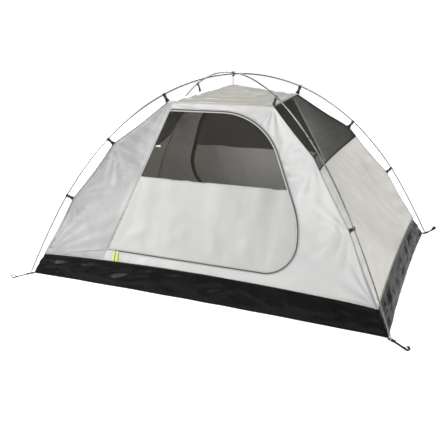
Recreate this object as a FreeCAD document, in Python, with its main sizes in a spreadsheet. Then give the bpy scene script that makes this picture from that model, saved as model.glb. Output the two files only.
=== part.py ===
import FreeCAD, Part
import Sketcher
import math
import os
from FreeCAD import Matrix, Placement, Rotation, Vector

# Two-person dome tent. Millimetres, +Z up, origin on the ground under the roof peak.
# The long side with the front door faces -Y. Everything on the rear is the front turned half round about Z.

doc = FreeCAD.newDocument("dome_tent")
sheet = doc.addObject("Spreadsheet::Sheet", "Sizes")

sizes = {
    # body of the tent: half sizes shrink towards the roof by the ratios given at each height
    "floorLength": 2286,
    "floorWidth": 1524,
    "tubHeight": 128,
    "tubRatio": 0.94,
    "lowerHeight": 490,
    "lowerRatio": 0.774,
    "seamHeight": 762,
    "middleHeight": 824.5,
    "middleRatio": 0.5635,
    "roofHeight": 1061,
    "roofRatio": 0.3033,
    "peakHeight": 1150,
    "fabric": 1.6,
    "seamGap": 1.2,
    # door, in the plane of the front wall: across from the middle, up the slope from the tub's top seam
    "hingeFoot": -597,
    "hingeHead": -324,
    "doorSill": 92.5,
    "doorHead": 1007,
    "doorSide": 604,
    "doorLean": 25.6,
    "doorSeam": 568,
    "lowerCorner": 175,
    "sideBend": 500,
    "upperCorner": 430,
    "zipTape": 7.2,
    "zipGap": 1.5,
    "hingeRadius": 2,
    "hingeGap": 2.6,
    "wallFold": 800,
    "hingeFold": -700,
    "endFoldLow": 430,
    "endFoldHigh": 180,
    "sillPiece": 299,
    "headPieceFoot": 766,
    "wallSlope": 62.5,
    "hingeEnds": 6,
    # poles
    "poleDiameter": 8.5,
    "poleBore": 7.1,
    "poleSection": 433,
    "bendCrownA": 26.2,
    "bendCrownB": 26.98,
    "bendShoulder": 21.08,
    "bendUpper": 14.73,
    "bendLower": 10.19,
    "bendFoot": 3.59,
    "ferruleDiameter": 7,
    "ferruleBore": 4.6,
    "ferruleLength": 70,
    "shockCord": 3,
    "tipCollar": 8,
    "tipNose": 17,
    "tipNoseDiameter": 6,
    "tipSpigot": 20,
    "tipSpigotDiameter": 6.9,
    "tipEndHeight": 2,
    # pole clips
    "clipReach": 22,
    "clipSeat": 4.75,
    "clipThickness": 2.6,
    "clipWidth": 19,
    "clipBar": 1.2,
    "clipEye": 1.25,
    "strapEye": 2.5,
    "strapWidth": 14,
    "strapBase": 30,
    # corners
    "tabWidth": 24,
    "tabThickness": 1.6,
    "grommetBore": 9.4,
    "grommetDiameter": 18,
    "loopWidth": 15,
    "loopStrap": 1.6,
    "loopLength": 104,
    "loopRadius": 11,
    "loopTaper": 32,
    "eyeReach": 23,
    # crown
    "crownPivotHeight": 1200,
    "crownHookWidth": 12,
    "crownHookInside": 27.4,
    # zip sliders, pulls and door ties
    "sliderLength": 10,
    "leftSliderPlace": 53,
    "rightSliderPlace": 77,
    "pullLength": 62,
    "pullWidth": 14,
    "tabEye": 6.6,
    "toggleLength": 34,
    "toggleWidth": 14,
    "tieRise": 770,
    "toggleBeside": 15,
    "tieLoopBeside": 30,
    "tieLoopDrop": 26,
    "tieLoopLean": -35,
}
for row, (name, value) in enumerate(sizes.items(), 1):
    sheet.set(f"A{row}", name)
    sheet.set(f"B{row}", str(value))
    sheet.setAlias(f"B{row}", name)
doc.recompute()


def size(name):
    return float(sheet.get(name))


up = Vector(0, 0, 1)
fabric = size("fabric")
subParts = []
pivots = {}  # turning or sliding line of each moving piece: a point on it and its direction


# helpers

def keep(part, label):
    part.Label = label
    subParts.append(part)
    return part


def shaped(label, shape, placement=None):
    part = doc.addObject("Part::Feature", label)
    part.Shape = shape
    if placement is not None:
        part.Placement = placement.multiply(shape.Placement)
    return keep(part, label)


def framed(origin, across, along):
    # Placement with local X along 'across' and local Y along 'along'
    third = across.cross(along)
    turn = Matrix(
        across.x, along.x, third.x, 0,
        across.y, along.y, third.y, 0,
        across.z, along.z, third.z, 0,
        0, 0, 0, 1)
    return Placement(origin, Rotation(turn))


def moved(shape, placement):
    copy = shape.copy()
    copy.Placement = placement.multiply(copy.Placement)
    return copy


def fused(shapes):
    whole = shapes[0]
    if len(shapes) > 1:
        whole = shapes[0].fuse(shapes[1:])
    return whole.removeSplitter()


def slab(corners, depth):
    # flat-sided piece: a polygon pushed along the vector 'depth'
    return Part.Face(Part.makePolygon(list(corners) + [corners[0]])).extrude(depth)


halfTurn = Placement(Vector(0, 0, 0), Rotation(up, 180))


def bound(part, **properties):
    for name, rule in properties.items():
        part.setExpression(name, rule)
    return part


def box(name, length, width, height, x, y, z):
    part = doc.addObject("Part::Box", name)
    bound(part, Length=length, Width=width, Height=height)
    part.setExpression("Placement.Base.x", x)
    part.setExpression("Placement.Base.y", y)
    part.setExpression("Placement.Base.z", z)
    return part


def rod(name, radius, height, x, y, z, turn=Rotation()):
    part = doc.addObject("Part::Cylinder", name)
    part.Placement = Placement(Vector(0, 0, 0), turn)
    bound(part, Radius=radius, Height=height)
    part.setExpression("Placement.Base.x", x)
    part.setExpression("Placement.Base.y", y)
    part.setExpression("Placement.Base.z", z)
    return part


def joined(name, parts):
    whole = doc.addObject("Part::MultiFuse", name)
    whole.Shapes = parts
    return whole


def cut(name, base, tool):
    whole = doc.addObject("Part::Cut", name)
    whole.Base = base
    whole.Tool = tool
    return whole


def newSketch(body, name, plane):
    sketch = body.newObject("Sketcher::SketchObject", name)
    sketch.AttachmentSupport = (next(f for f in body.Origin.OriginFeatures if f.Role == plane), [""])
    sketch.MapMode = "FlatFace"
    return sketch


def outline(sketch, corners):
    # Closed polygon whose corners are pairs of rules; it starts as a ring and the rules pull it into place.
    count = len(corners)
    ring = [Vector(math.cos(6.28 * i / count), math.sin(6.28 * i / count), 0) for i in range(count)]
    for i in range(count):
        sketch.addGeometry(Part.LineSegment(ring[i], ring[(i + 1) % count]), False)
    for i in range(count):
        sketch.addConstraint(Sketcher.Constraint("Coincident", i, 2, (i + 1) % count, 1))
    for i, rules in enumerate(corners):
        for kind, rule in zip(("DistanceX", "DistanceY"), rules):
            index = sketch.addConstraint(Sketcher.Constraint(kind, -1, 1, i, 1, 1.0))
            sketch.setExpression(f"Constraints[{index}]", rule)


def turned(body, name, corners):
    # solid of revolution about the body's Z axis from a profile of (radius, height) rules
    sketch = newSketch(body, name + "Profile", "XZ_Plane")
    outline(sketch, corners)
    ring = body.newObject("PartDesign::Revolution", name)
    ring.Profile = sketch
    ring.ReferenceAxis = (sketch, ["V_Axis"])
    ring.Angle = 360
    return ring


# frame of the walls

levels = {
    "ground": (1, 0),
    "tub": (size("tubRatio"), size("tubHeight") + size("seamGap")),
    "lower": (size("lowerRatio"), size("lowerHeight")),
    "middle": (size("middleRatio"), size("middleHeight")),
    "roof": (size("roofRatio"), size("roofHeight")),
}
seamShare = (size("middleHeight") - size("seamHeight")) / (size("middleHeight") - size("lowerHeight"))
seamRatio = size("middleRatio") + seamShare * (size("lowerRatio") - size("middleRatio"))
levels["seam"] = (seamRatio, size("seamHeight"))
halfLength = size("floorLength") / 2
halfWidth = size("floorWidth") / 2
diagonal = math.hypot(halfLength, halfWidth)


def corner(level, sideX, sideY, inset=0):
    ratio, height = levels[level]
    return Vector(sideX * ratio * halfLength, sideY * (ratio * halfWidth - inset), height)


def wallFrame(across, low, high):
    return framed(low, across, (high - low).normalize())


frontLow = Vector(0, corner("tub", 1, -1).y, corner("tub", 1, -1).z)
frontHigh = Vector(0, corner("roof", 1, -1).y, size("roofHeight"))
frontFrame = wallFrame(Vector(1, 0, 0), frontLow, frontHigh)
frontRise = (frontHigh - frontLow).Length
frontDepth = frontFrame.Rotation.multVec(Vector(0, 0, -fabric))
endLow = Vector(corner("tub", 1, 1).x, 0, corner("tub", 1, 1).z)
endHigh = Vector(corner("roof", 1, 1).x, 0, size("roofHeight"))
endFrame = wallFrame(Vector(0, 1, 0), endLow, endHigh)
endDepth = endFrame.Rotation.multVec(Vector(0, 0, -fabric))
cornerInset = (fabric + size("seamGap")) / math.sin(math.radians(size("wallSlope")))


def front(across, rise, out=0):
    # point of the front wall: across from the middle, up its slope from the tub's seam, and out of it
    return frontFrame.multVec(Vector(across, rise, out))


# bathtub floor: a shallow tray with leaning walls

def rectangle(body, name, height, halfX, halfY):
    sketch = newSketch(body, name, "XY_Plane")
    sketch.setExpression("AttachmentOffset.Base.z", height)
    sides = ((-1, -1), (1, -1), (1, 1), (-1, 1))
    outline(sketch, [(f"{x} * ({halfX})", f"{y} * ({halfY})") for x, y in sides])
    return sketch


tub = doc.addObject("PartDesign::Body", "bathtub_floor")
lengthRule = "Sizes.floorLength / 2"
widthRule = "Sizes.floorWidth / 2"
wallRule = "Sizes.fabric / 0.85"
floorRim = rectangle(tub, "FloorRim", "0", lengthRule, widthRule)
topRim = rectangle(tub, "TopRim", "Sizes.tubHeight",
                   f"{lengthRule} * Sizes.tubRatio", f"{widthRule} * Sizes.tubRatio")
tubOutside = tub.newObject("PartDesign::AdditiveLoft", "TubOutside")
tubOutside.Profile = floorRim
tubOutside.Sections = [topRim]
leanShare = "Sizes.fabric / Sizes.tubHeight * (1 - Sizes.tubRatio)"
innerFloor = rectangle(tub, "InnerFloor", "Sizes.fabric",
                       f"{lengthRule} - {leanShare} * {lengthRule} - {wallRule}",
                       f"{widthRule} - {leanShare} * {widthRule} - {wallRule}")
innerTop = rectangle(tub, "InnerTop", "Sizes.tubHeight",
                     f"{lengthRule} * Sizes.tubRatio - {wallRule}",
                     f"{widthRule} * Sizes.tubRatio - {wallRule}")
tubInside = tub.newObject("PartDesign::SubtractiveLoft", "TubInside")
tubInside.Profile = innerFloor
tubInside.Sections = [innerTop]
tub.Tip = tubInside
keep(tub, "bathtub_floor")


# roof: a low pyramid sewn to the top edges of the four walls

roofDrop = Vector(0, 0, -1.5 * fabric)
eave = Vector(0, 0, size("seamGap") + 1.5 * fabric)
peak = Vector(0, 0, size("peakHeight"))
roofCorners = [corner("roof", x, y) + eave for x, y in ((-1, -1), (1, -1), (1, 1), (-1, 1))]
roofSides = [slab([roofCorners[i], roofCorners[(i + 1) % 4], peak], roofDrop) for i in range(4)]
shaped("roof_panel", fused(roofSides))


# door opening, drawn in the plane of the front wall

hingeSlope = (size("hingeHead") - size("hingeFoot")) / (size("doorHead") - size("doorSill"))
hingeLean = math.atan(hingeSlope)


def hingeAcross(rise, beside=0):
    run = size("hingeFoot") + (rise - size("doorSill")) * hingeSlope
    return run + beside / math.cos(hingeLean)


def bend(centre, radius, first, last):
    turns = [math.radians(a) for a in (first, (first + last) / 2, last)]
    points = [centre + Vector(radius * math.cos(a), radius * math.sin(a), 0) for a in turns]
    return Part.Arc(*points).toShape()


def doorSolid(grow, beside, depth):
    # the door's outline, 'grow' outside the zip line and 'beside' off the hinge line, as a flat piece
    lean = size("doorLean")
    foot = size("doorSill") - grow
    head = size("doorHead") + grow
    low = size("lowerCorner") + grow
    side = size("sideBend") + grow
    high = size("upperCorner") + grow
    lowCentre = Vector(size("doorSide") + grow - low, foot + low, 0)
    sideCentre = Vector(size("doorSide") + grow - side, foot + low, 0)
    outward = Vector(math.cos(math.radians(lean)), math.sin(math.radians(lean)), 0)
    highCentre = Vector(0, head - high, 0)
    reach = side - high - (highCentre.y - sideCentre.y) * outward.y
    highCentre.x = sideCentre.x + reach / outward.x
    startPoint = Vector(hingeAcross(foot, beside), foot, 0)
    endPoint = Vector(hingeAcross(head, beside), head, 0)
    arcs = [
        bend(lowCentre, low, -90, 0),
        bend(sideCentre, side, 0, lean),
        bend(highCentre, high, lean, 90),
    ]
    edges = [
        Part.makeLine(startPoint, arcs[0].Vertexes[0].Point),
        arcs[0],
        arcs[1],
        Part.makeLine(arcs[1].Vertexes[-1].Point, arcs[2].Vertexes[0].Point),
        arcs[2],
        Part.makeLine(arcs[2].Vertexes[-1].Point, endPoint),
        Part.makeLine(endPoint, startPoint),
    ]
    return Part.Face(Part.Wire(edges)).extrude(Vector(0, 0, -depth))


def band(low, high, left=-2000, right=2000):
    return Part.makeBox(right - left, high - low, 20, Vector(left, low, -10))


zipEdge = size("zipGap")
panelEdge = zipEdge + size("zipTape") + 0.3
hingeGap = size("hingeGap")
wallOpening = doorSolid(panelEdge, 0, fabric)
wallFlat = slab([
    Vector(hingeAcross(0, hingeGap), 0, 0),
    Vector(size("wallFold"), 0, 0),
    Vector(corner("roof", 1, -1).x, frontRise, 0),
    Vector(hingeAcross(frontRise, hingeGap), frontRise, 0)], Vector(0, 0, -fabric)).cut(wallOpening)
sillEnd = size("sillPiece")
sideTop = size("headPieceFoot")
sillPart = moved(wallFlat.common(band(-1, sideTop, right=sillEnd)), frontFrame)
sideFlat = moved(wallFlat.common(band(-1, sideTop, left=sillEnd)), frontFrame)
headPart = moved(wallFlat.common(band(sideTop, frontRise + 1)), frontFrame)


def fan(hub, points, depth):
    return [slab([hub, a, b], depth) for a, b in zip(points, points[1:])]


rightEdge = [corner(level, 1, -1) for level in ("tub", "lower", "middle", "roof")]
leftEdge = [corner(level, -1, -1) for level in ("tub", "lower", "middle", "roof")]
sidePart = fused([sideFlat] + fan(front(size("wallFold"), 0), rightEdge, frontDepth))
hingeHub = front(hingeAcross(0, -hingeGap), 0)
hingeTop = front(hingeAcross(frontRise, -hingeGap), frontRise)
hingeFold = front(size("hingeFold"), 0)
hingeFlat = slab([hingeHub, hingeTop, leftEdge[-1], hingeFold], frontDepth)
hingePart = fused([hingeFlat] + fan(hingeFold, leftEdge, frontDepth))
hingeEnds = (size("hingeEnds"), frontRise - size("hingeEnds"))
hingeLine = [front(hingeAcross(rise), rise, -fabric / 2) for rise in hingeEnds]
hingeWay = (hingeLine[1] - hingeLine[0]).normalize()
hingeRod = Part.makeCylinder(size("hingeRadius"), (hingeLine[1] - hingeLine[0]).Length, hingeLine[0], hingeWay)
zipWall = doorSolid(zipEdge + size("zipTape"), hingeGap, fabric).cut(doorSolid(zipEdge, hingeGap, fabric))
zipDoor = doorSolid(-zipEdge, hingeGap, fabric).cut(doorSolid(-zipEdge - size("zipTape"), hingeGap, fabric))
leaf = doorSolid(-panelEdge, hingeGap, fabric)
doorPanel = leaf.common(band(0, size("doorSeam") - 0.2))
doorMesh = leaf.common(band(size("doorSeam") + 0.2, 2000))

stillPanels = {
    "hinge_panel": hingePart,
    "sill_panel": sillPart,
    "side_panel": sidePart,
    "head_panel": headPart,
    "zip_wall": moved(zipWall, frontFrame),
}
doorPieces = {
    "door_panel": moved(doorPanel, frontFrame),
    "door_mesh": moved(doorMesh, frontFrame),
    "zip_door": moved(zipDoor, frontFrame),
}
sides = {"front": Placement(), "rear": halfTurn}
for side, turn in sides.items():
    for name, shape in {**stillPanels, **doorPieces}.items():
        shaped(f"{side}_{name}", shape, turn)
    pivots[f"{side}_door"] = (turn.multVec(hingeLine[0]), turn.Rotation.multVec(-hingeWay))
shaped("door_hinge_seams", Part.makeCompound([hingeRod, moved(hingeRod, halfTurn)]))


# end walls: fabric below, mesh above, both bulging out to the corner seams

def endPoint(across, rise):
    return endFrame.multVec(Vector(across, rise, 0))


endRise = (endHigh - endLow).Length
seamRise = (size("seamHeight") - endLow.z) / (endHigh.z - endLow.z) * endRise
panelParts = []
meshParts = []
for way in (-1, 1):
    foot = endPoint(way * size("endFoldLow"), 0)
    fold = endPoint(way * size("endFoldHigh"), seamRise)
    edge = {level: corner(level, 1, way, cornerInset) for level in levels}
    panelParts.append(slab([foot, edge["tub"], edge["lower"]], endDepth))
    panelParts.append(slab([foot, edge["lower"], fold], endDepth))
    panelParts.append(slab([fold, edge["lower"], edge["seam"]], endDepth))
    meshParts.append(slab([fold, edge["seam"], edge["middle"]], endDepth))
    meshParts.append(slab([fold, edge["middle"], edge["roof"]], endDepth))
lowFold, highFold, roofEdge = [
    [endPoint(way * across, rise) for way in (-1, 1)]
    for across, rise in ((size("endFoldLow"), 0), (size("endFoldHigh"), seamRise),
                       (corner("roof", 1, 1, cornerInset).y, endRise))]
panelParts.append(slab([lowFold[0], lowFold[1], highFold[1], highFold[0]], endDepth))
meshParts.append(slab([highFold[0], highFold[1], roofEdge[1], roofEdge[0]], endDepth))
endPanel = fused(panelParts)
endMesh = fused(meshParts)
for side, turn in {"right": Placement(), "left": halfTurn}.items():
    shaped(f"{side}_end_panel", endPanel, turn)
    shaped(f"{side}_end_mesh", endMesh, turn)


# poles: each bends in the upright plane over its own diagonal, as nine tubes that meet on smooth arcs

diagonalWay = Vector(halfLength / diagonal, halfWidth / diagonal, 0)
poleWays = {
    "a": Vector(diagonalWay.x, diagonalWay.y, 0),
    "b": Vector(-diagonalWay.x, diagonalWay.y, 0),
}
footBends = [size(name) for name in ("bendShoulder", "bendUpper", "bendLower", "bendFoot")]
tipLength = size("tipCollar") + size("tipNose")


def poleSections(crownBend):
    # arcs of one half, from the crown down: centre (out, up), radius, first and last angle from upright
    section = size("poleSection")
    arcs = []
    angle = 0
    out = 0
    height = 0
    for share, turn in [(0.5, crownBend / 2)] + [(1, b) for b in footBends]:
        turn = math.radians(turn)
        radius = share * section / turn
        centre = (out - radius * math.sin(angle), height - radius * math.cos(angle))
        arcs.append([centre[0], centre[1], radius, angle, angle + turn])
        angle += turn
        out = centre[0] + radius * math.sin(angle)
        height = centre[1] + radius * math.cos(angle)
    lift = size("tipEndHeight") - height
    for arc in arcs:
        arc[1] += lift
    return arcs


poleArcs = {
    "a": poleSections(size("bendCrownA")),
    "b": poleSections(size("bendCrownB")),
}


def onArc(arc, way, angle):
    out, height, radius = arc[:3]
    place = way * (out + radius * math.sin(angle)) + up * (height + radius * math.cos(angle))
    along = way * math.cos(angle) - up * math.sin(angle)
    return place, along


def bentTube(arc, way, first, last, outer, bore=0):
    place, along = onArc(arc, way, first)
    rims = [Part.Wire(Part.makeCircle(outer / 2, place, along))]
    if bore:
        rims.append(Part.Wire(Part.makeCircle(bore / 2, place, along)))
    centre = way * arc[0] + up * arc[1]
    disc = Part.makeFace(rims, "Part::FaceMakerBullseye")
    return disc.revolve(centre, up.cross(way), math.degrees(last - first))


tubes = {}
ferrules = []
shockCords = []
tipPlaces = []
for pole, poleWay in poleWays.items():
    arcs = poleArcs[pole]
    trim = tipLength / arcs[-1][2]
    halves = []
    cordEnds = []
    for way in (poleWay, -poleWay):
        for place, arc in enumerate(arcs):
            last = arc[4] - trim if place == 4 else arc[4]
            halves.append(bentTube(arc, way, arc[3], last, size("poleDiameter"), size("poleBore")))
            if place == 4:
                last -= (size("tipSpigot") + 1) / arc[2]
            cordEnds.append(bentTube(arc, way, arc[3], last, size("shockCord")))
        for arc, following in zip(arcs, arcs[1:]):
            reach = size("ferruleLength") / 2
            widths = (size("ferruleDiameter"), size("ferruleBore"))
            pieces = [
                bentTube(arc, way, arc[4] - reach / arc[2], arc[4], *widths),
                bentTube(following, way, following[3], following[3] + reach / following[2], *widths)]
            ferrules.append(pieces[0].fuse(pieces[1]))
        tubeEnd, along = onArc(arcs[-1], way, arcs[-1][4] - trim)
        tipPlaces.append((tubeEnd, along))
    crownTube = halves[0].fuse(halves[5]).removeSplitter()
    tubes[pole] = [crownTube] + halves[1:5] + halves[6:]
    cord = cordEnds[0]
    shockCords.append(cord.fuse(cordEnds[1:]))
for pole in poleWays:
    shaped(f"pole_{pole}_tubes", Part.makeCompound(tubes[pole]))
shaped("pole_shock_cords", Part.makeCompound(shockCords))

tip = doc.addObject("PartDesign::Body", "TipMaster")
turned(tip, "TipTurning", [
    ("0", "-Sizes.tipSpigot"),
    ("Sizes.tipSpigotDiameter / 2", "-Sizes.tipSpigot"),
    ("Sizes.tipSpigotDiameter / 2", "0"),
    ("Sizes.poleDiameter / 2 + 0.8", "0"),
    ("Sizes.poleDiameter / 2 + 0.8", "Sizes.tipCollar - 1"),
    ("Sizes.poleDiameter / 2 - 0.2", "Sizes.tipCollar"),
    ("Sizes.tipNoseDiameter / 2", "Sizes.tipCollar"),
    ("Sizes.tipNoseDiameter / 2", "Sizes.tipCollar + Sizes.tipNose - 1.5"),
    ("Sizes.tipNoseDiameter / 2 - 1.5", "Sizes.tipCollar + Sizes.tipNose"),
    ("0", "Sizes.tipCollar + Sizes.tipNose")])
doc.recompute()
tips = []
for place, along in tipPlaces:
    tips.append(moved(tip.Shape, Placement(place, Rotation(up, along))))
shaped("pole_fittings", Part.makeCompound(ferrules + tips))


# pole clips: a webbing strap sewn on the corner seam ends in an eye, and a hook on that eye snaps over the pole

def clipMaster():
    full = "Sizes.clipSeat + Sizes.clipThickness"
    width = "Sizes.clipWidth"
    thick = "Sizes.clipThickness"
    low = "-Sizes.clipWidth / 2"
    cheek = "(Sizes.clipWidth - Sizes.strapWidth) / 2 - 0.3"
    seatOuter = rod("ClipSeatOuter", full, width, "0", "0", low)
    seatOuter.Angle = 105
    seatInner = rod("ClipSeatInner", "Sizes.clipSeat", width + " + 2", "0", "0", low + " - 1")
    seat = cut("ClipSeatArc", seatOuter, seatInner)
    stem = box("ClipStem", thick, "10", width, "Sizes.clipSeat", "-10", low)
    shoulder = box("ClipShoulder", f"{full} + {thick} / 2", thick, width, f"-{thick} / 2", "-12", low)
    plate = box("ClipPlate", thick, "Sizes.clipReach - 13", width, f"-{thick} / 2", "3 - Sizes.clipReach", low)
    cheeks = [
        box(f"ClipCheek{i}", thick, "6", cheek, f"-{thick} / 2", "-1.3 - Sizes.clipReach", z)
        for i, z in enumerate((low, f"-({low}) - ({cheek})"))]
    bar = rod("ClipBar", "Sizes.clipBar", width, "0", "-Sizes.clipReach", low)
    return joined("ClipMaster", [seat, stem, shoulder, plate, bar] + cheeks)


def strapShape(length):
    # eye at the origin, tongue down -Y to the seam, width along Z
    width = size("strapWidth")
    eye = Part.makeCylinder(size("strapEye"), width, Vector(0, 0, -width / 2))
    base = size("strapBase")
    tongue = slab([
        Vector(-0.8, -1.5, -width / 2), Vector(-0.8, -1.5, width / 2),
        Vector(-0.8, -length, base / 2), Vector(-0.8, -length, -base / 2)], Vector(1.6, 0, 0))
    hole = Part.makeCylinder(size("clipEye"), width + 2, Vector(0, 0, -width / 2 - 1))
    return eye.fuse(tongue).cut(hole).removeSplitter()


clip = clipMaster()
doc.recompute()
seamLift = {"lower": 0, "middle": 0, "roof": eave.z}
clipNames = {"roof": "upper", "middle": "middle", "lower": "lower"}
quarters = {
    "rear_right": ("a", 1),
    "front_left": ("a", -1),
    "rear_left": ("b", 1),
    "front_right": ("b", -1),
}
straps = []
for quarter, (pole, sign) in quarters.items():
    way = poleWays[pole] * sign
    for level, arcIndex in (("roof", 1), ("middle", 2), ("lower", 3)):
        ratio, height = levels[level]
        arc = poleArcs[pole][arcIndex]
        out = ratio * diagonal - arc[0]
        rise = height + seamLift[level] - arc[1]
        angle = math.atan2(out, rise)
        seamDistance = arc[2] - math.hypot(out, rise)
        place, along = onArc(arc, way, angle)
        normal = way * math.sin(angle) + up * math.cos(angle)
        clipFrame = framed(place, normal.cross(along), normal)
        shaped(f"{quarter}_{clipNames[level]}_clip", clip.Shape, clipFrame)
        eyePlace = clipFrame.multVec(Vector(0, -size("clipReach"), 0))
        strapLength = seamDistance - size("clipReach") - 1.4
        straps.append(moved(strapShape(strapLength), Placement(eyePlace, clipFrame.Rotation)))
        pivots[f"{quarter}_{clipNames[level]}_clip"] = (eyePlace, along * -1)
shaped("clip_straps", Part.makeCompound(straps))


# corners: a webbing tab with a grommet for the pole tip, and a stake loop hinged on the tab's end

grommet = doc.addObject("PartDesign::Body", "GrommetMaster")
turned(grommet, "GrommetTurning", [
    ("Sizes.grommetBore / 2", "0"),
    ("Sizes.grommetDiameter / 2", "0"),
    ("Sizes.grommetDiameter / 2", "0.7"),
    ("Sizes.grommetBore / 2 + 1", "0.7"),
    ("Sizes.grommetBore / 2 + 1", "0.9 + Sizes.tabThickness"),
    ("Sizes.grommetDiameter / 2", "0.9 + Sizes.tabThickness"),
    ("Sizes.grommetDiameter / 2", "1.6 + Sizes.tabThickness"),
    ("Sizes.grommetBore / 2", "1.6 + Sizes.tabThickness")])
doc.recompute()
loopHeights = size("strapEye") + 0.2
headings = {"rear_right": 63, "front_left": 236, "rear_left": 140, "front_right": -38}
eyeReach = size("eyeReach")


def cornerTab(start, grommetPlace, heading):
    # two lengths of webbing that cross under the grommet; the outer one carries the bar for the stake loop
    width = size("tabWidth")
    thick = size("tabThickness")
    inner = grommetPlace - start
    innerTurn = math.degrees(math.atan2(inner.y, inner.x))
    lap = Placement(start, Rotation(up, innerTurn))
    first = moved(Part.makeBox(inner.Length, width, thick, Vector(0, -width / 2, 0)), lap)
    outerFrame = Placement(grommetPlace, Rotation(up, heading))
    second = moved(Part.makeBox(eyeReach + 12, width, thick, Vector(-9, -width / 2, 0)), outerFrame)
    window = Part.makeBox(7, size("loopWidth") + 1, 9, Vector(eyeReach - 3.5, -size("loopWidth") / 2 - 0.5, -2))
    barPlace = Vector(eyeReach, -width / 2, loopHeights - 0.8)
    bar = Part.makeCylinder(size("clipBar"), width, barPlace, Vector(0, 1, 0))
    hole = Part.makeCylinder(size("grommetBore") / 2 + 1.1, 9, grommetPlace - up)
    cheeks = [
        Part.makeBox(5, 3.4, 3.2, Vector(eyeReach - 2.5, y, 0))
        for y in (-width / 2, width / 2 - 3.4)]
    lifted = moved(window, outerFrame)
    whole = first.fuse(second).cut([lifted, hole])
    return whole.fuse([moved(s, outerFrame) for s in [bar] + cheeks]).removeSplitter()


def stakeLoop():
    # webbing from an eye at the origin along +X on the ground, ending in an upright drop-shaped loop
    width = size("loopWidth")
    strap = size("loopStrap")
    eye = size("strapEye")
    radius = size("loopRadius")
    centre = Vector(size("loopLength") - radius, 0, radius - eye)
    pinch = Vector(centre.x - size("loopTaper"), 0, -eye)
    halfAngle = math.atan2(radius, size("loopTaper"))

    def drop(inset):
        inside = radius - inset
        low = Vector(centre.x, 0, centre.z - inside)
        high = centre + Vector(-math.sin(2 * halfAngle), 0, math.cos(2 * halfAngle)) * inside
        far = centre + Vector(1, 0, 0) * inside
        point = Vector(centre.x - inside / math.tan(halfAngle), 0, centre.z - inside)
        edges = [Part.makeLine(point, low), Part.Arc(low, far, high).toShape(), Part.makeLine(high, point)]
        return Part.Face(Part.Wire(edges)).extrude(Vector(0, width, 0))

    loop = drop(0).cut(drop(strap))
    tail = Part.makeBox(pinch.x + 6, width, strap, Vector(0, 0, -eye))
    ring = Part.makeCylinder(eye, width, Vector(0, 0, 0), Vector(0, 1, 0))
    hole = Part.makeCylinder(size("clipEye"), width + 2, Vector(0, -1, 0), Vector(0, 1, 0))
    whole = loop.fuse([tail, ring]).cut(hole).removeSplitter()
    whole.translate(Vector(0, -width / 2, 0))
    return whole


loopShape = stakeLoop()
tabs = []
grommets = []
for quarter, (pole, sign) in quarters.items():
    way = poleWays[pole] * sign
    tipEnd, along = onArc(poleArcs[pole][-1], way, poleArcs[pole][-1][4])
    grommetPlace = Vector(tipEnd.x, tipEnd.y, 0) - way * 0.2
    grommets.append(moved(grommet.Shape, Placement(grommetPlace, Rotation())))
    start = way * (diagonal + 0.4) + up * 0.8
    heading = headings[quarter]
    tabs.append(cornerTab(start, grommetPlace + up * 0.8, heading))
    eyeFrame = Placement(grommetPlace, Rotation(up, heading))
    eyePlace = eyeFrame.multVec(Vector(eyeReach, 0, loopHeights))
    shaped(f"{quarter}_stake_loop", loopShape, Placement(eyePlace, Rotation(up, heading)))
    pivots[f"{quarter}_stake_loop"] = (eyePlace, eyeFrame.Rotation.multVec(Vector(0, -1, 0)))
shaped("corner_tabs", Part.makeCompound(tabs))
shaped("corner_grommets", Part.makeCompound(grommets))


# crown: a cord from the roof peak carries a hook that lies over the crossing of the poles

crownPivot = Vector(0, 0, size("crownPivotHeight"))
cordFoot = size("peakHeight") + 0.6
crownCord = Part.makeCylinder(1.6, crownPivot.z - cordFoot - 1.5, Vector(0, 0, cordFoot))
crownEye = Part.makeCylinder(size("strapEye"), 6, crownPivot - Vector(3, 0, 0), Vector(1, 0, 0))
crownHole = Part.makeCylinder(size("clipEye"), 12, crownPivot - Vector(6, 0, 0), Vector(1, 0, 0))
shaped("crown_cord", crownCord.fuse(crownEye).cut(crownHole).removeSplitter())


def crownHook():
    # profile in the YZ plane about the eye: an arch over both poles, open on the -Y side, width along X
    width = size("crownHookWidth")
    inner = size("crownHookInside")
    outer = inner + size("clipThickness")
    first = math.radians(90 - 38)
    last = math.radians(90 + 14)

    def spot(radius, angle):
        return Vector(0, radius * math.cos(angle), radius * math.sin(angle))

    middle = (first + last) / 2
    arch = Part.Wire([
        Part.Arc(spot(inner, first), spot(inner, middle), spot(inner, last)).toShape(),
        Part.makeLine(spot(inner, last), spot(outer, last)),
        Part.Arc(spot(outer, last), spot(outer, middle), spot(outer, first)).toShape(),
        Part.makeLine(spot(outer, first), spot(inner, first))])
    archSolid = Part.Face(arch).extrude(Vector(width, 0, 0))
    stem = slab([
        spot(outer - 0.1, first + 0.08), spot(inner + 0.1, first + 0.08), spot(inner, first),
        Vector(0, 12.6, 4.6), Vector(0, 15.6, 4.6), spot(outer, first)], Vector(width, 0, 0))
    foot = slab([
        Vector(0, 15.6, 5), Vector(0, 3.2, 5), Vector(0, 3.2, 2.6), Vector(0, 15.6, 2.6)], Vector(width, 0, 0))
    cheeks = [Part.makeBox(2.4, 6, 6.3, Vector(x, -2, -1.3)) for x in (0, width - 2.4)]
    bar = Part.makeCylinder(size("clipBar"), width, Vector(0, 0, 0), Vector(1, 0, 0))
    whole = archSolid.fuse([stem, foot, bar] + cheeks).removeSplitter()
    whole.translate(Vector(-width / 2, 0, 0))
    return whole


shaped("crown_hook", crownHook(), Placement(crownPivot, Rotation()))
pivots["crown_hook"] = (crownPivot, Vector(-1, 0, 0))


# zip sliders with their pulls, on the wall's half of the zip along the sill

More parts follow.
